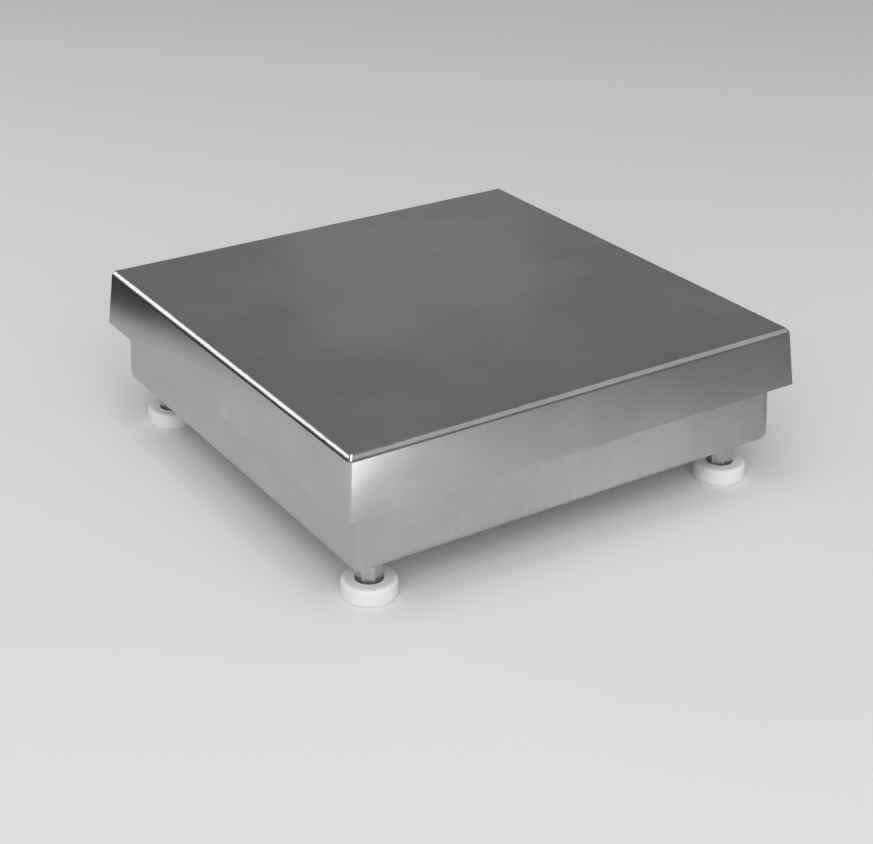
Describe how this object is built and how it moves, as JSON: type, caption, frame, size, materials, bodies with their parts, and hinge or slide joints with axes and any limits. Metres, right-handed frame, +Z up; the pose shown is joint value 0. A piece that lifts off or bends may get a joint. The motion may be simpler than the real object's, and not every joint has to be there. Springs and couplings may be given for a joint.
{
  "type": "checkweigher",
  "caption": "Static checkweigher base: square lift-off stainless platter with splayed skirts over a pan holding a single-point load cell, on levelling feet.",
  "frame": {"origin": "centre of the base's footprint on the bench, under the middle of the platter", "axes": "+Z up; +X to the operator's right; +Y away from the operator, towards the signal socket"},
  "size_m": [0.3126, 0.314, 0.104],
  "materials": {
    "platter_steel": "number 4 brushed 304 stainless steel sheet, welded and dressed corners",
    "pan_steel": "number 4 brushed 304 stainless steel sheet",
    "frame_steel": "mill-finish folded stainless steel",
    "stainless_fastener": "bright stainless steel fasteners and foot studs",
    "cell_aluminium": "milled and clear-anodised aluminium",
    "spacer_aluminium": "sawn and milled aluminium",
    "gauge_coat": "soft off-white silicone coat",
    "bumper_rubber": "black moulded rubber",
    "foot_plastic": "white moulded nylon",
    "level_cup_metal": "turned aluminium cup",
    "level_vial": "clear acrylic vial with green fluid",
    "socket_metal": "nickel-plated brass",
    "seal_rubber": "black nitrile seal",
    "socket_insert_plastic": "black moulded insert",
    "contact_brass": "gold-plated brass contacts",
    "lead_jacket": "dark grey lead jacket",
    "gland_brass": "nickel-plated brass gland",
    "clip_nylon": "natural nylon saddle clip"
  },
  "bodies": {
    "base": {"base_pan": "pan_steel", "base_rail_left": "frame_steel", "base_rail_right": "frame_steel", "base_crossmember": "frame_steel", "foot_bushes": "stainless_fastener", "foot_lock_nuts": "stainless_fastener", "load_cell": "cell_aluminium", "cell_gauge_coats": "gauge_coat", "cell_base_spacer": "spacer_aluminium", "cell_base_bolts": "stainless_fastener", "overload_stop_bolts": "stainless_fastener", "overload_stop_jam_nuts": "stainless_fastener", "overload_stop_weld_nuts": "stainless_fastener", "level_bracket": "frame_steel", "level_cup": "level_cup_metal", "level_lens": "level_vial", "level_screws": "stainless_fastener", "socket_shell": "socket_metal", "socket_seal": "seal_rubber", "socket_nut": "socket_metal", "socket_insert": "socket_insert_plastic", "socket_contacts": "contact_brass", "cell_lead": "lead_jacket", "lead_gland": "gland_brass", "lead_clip": "clip_nylon", "lead_clip_rivets": "stainless_fastener"},
    "deck": {"cell_top_spacer": "spacer_aluminium", "deck_bolts": "stainless_fastener", "deck_spine": "frame_steel", "deck_crossbar_left": "frame_steel", "deck_crossbar_right": "frame_steel", "platter_bumpers": "bumper_rubber", "bumper_studs": "stainless_fastener", "bumper_nuts": "stainless_fastener"},
    "platter": {"platter": "platter_steel", "platter_stiffeners": "frame_steel", "platter_locators": "frame_steel"},
    "foot_front_left": {"foot_pad_front_left": "foot_plastic"},
    "foot_front_left_stud": {"foot_stud_front_left": "stainless_fastener"},
    "foot_front_right": {"foot_pad_front_right": "foot_plastic"},
    "foot_front_right_stud": {"foot_stud_front_right": "stainless_fastener"},
    "foot_rear_left": {"foot_pad_rear_left": "foot_plastic"},
    "foot_rear_left_stud": {"foot_stud_rear_left": "stainless_fastener"},
    "foot_rear_right": {"foot_pad_rear_right": "foot_plastic"},
    "foot_rear_right_stud": {"foot_stud_rear_right": "stainless_fastener"}
  },
  "joints": [
    {"name": "deck_deflection", "type": "slide", "parent": "base", "child": "deck", "axis": [0, 0, 1], "range_m": [-0.00075, 0], "stiffness_N_per_m": 735000, "deforming": ["load_cell"]},
    {"name": "platter_lift", "type": "slide", "parent": "deck", "child": "platter", "axis": [0, 0, 1], "range_m": [0, 0.12]},
    {"name": "foot_front_left_height", "type": "slide", "parent": "base", "child": "foot_front_left", "axis": [0, 0, -1], "range_m": [-0.0015, 0.012]},
    {"name": "foot_front_left_turn", "type": "hinge", "parent": "foot_front_left", "child": "foot_front_left_stud", "pos_m": [-0.1277, -0.1277, 0], "axis": [0, 0, -1], "range_deg": [-385, 3065]},
    {"name": "foot_front_right_height", "type": "slide", "parent": "base", "child": "foot_front_right", "axis": [0, 0, -1], "range_m": [-0.0015, 0.012]},
    {"name": "foot_front_right_turn", "type": "hinge", "parent": "foot_front_right", "child": "foot_front_right_stud", "pos_m": [0.1277, -0.1277, 0], "axis": [0, 0, -1], "range_deg": [-385, 3065]},
    {"name": "foot_rear_left_height", "type": "slide", "parent": "base", "child": "foot_rear_left", "axis": [0, 0, -1], "range_m": [-0.0015, 0.012]},
    {"name": "foot_rear_left_turn", "type": "hinge", "parent": "foot_rear_left", "child": "foot_rear_left_stud", "pos_m": [-0.1277, 0.1277, 0], "axis": [0, 0, -1], "range_deg": [-385, 3065]},
    {"name": "foot_rear_right_height", "type": "slide", "parent": "base", "child": "foot_rear_right", "axis": [0, 0, -1], "range_m": [-0.0015, 0.012]},
    {"name": "foot_rear_right_turn", "type": "hinge", "parent": "foot_rear_right", "child": "foot_rear_right_stud", "pos_m": [0.1277, 0.1277, 0], "axis": [0, 0, -1], "range_deg": [-385, 3065]}
  ],
  "couplings": [
    {"joint": "foot_front_left_turn", "follows": "foot_front_left_height", "rad_per_m": 4452.7},
    {"joint": "foot_front_right_turn", "follows": "foot_front_right_height", "rad_per_m": 4452.7},
    {"joint": "foot_rear_left_turn", "follows": "foot_rear_left_height", "rad_per_m": 4452.7},
    {"joint": "foot_rear_right_turn", "follows": "foot_rear_right_height", "rad_per_m": 4452.7}
  ]
}
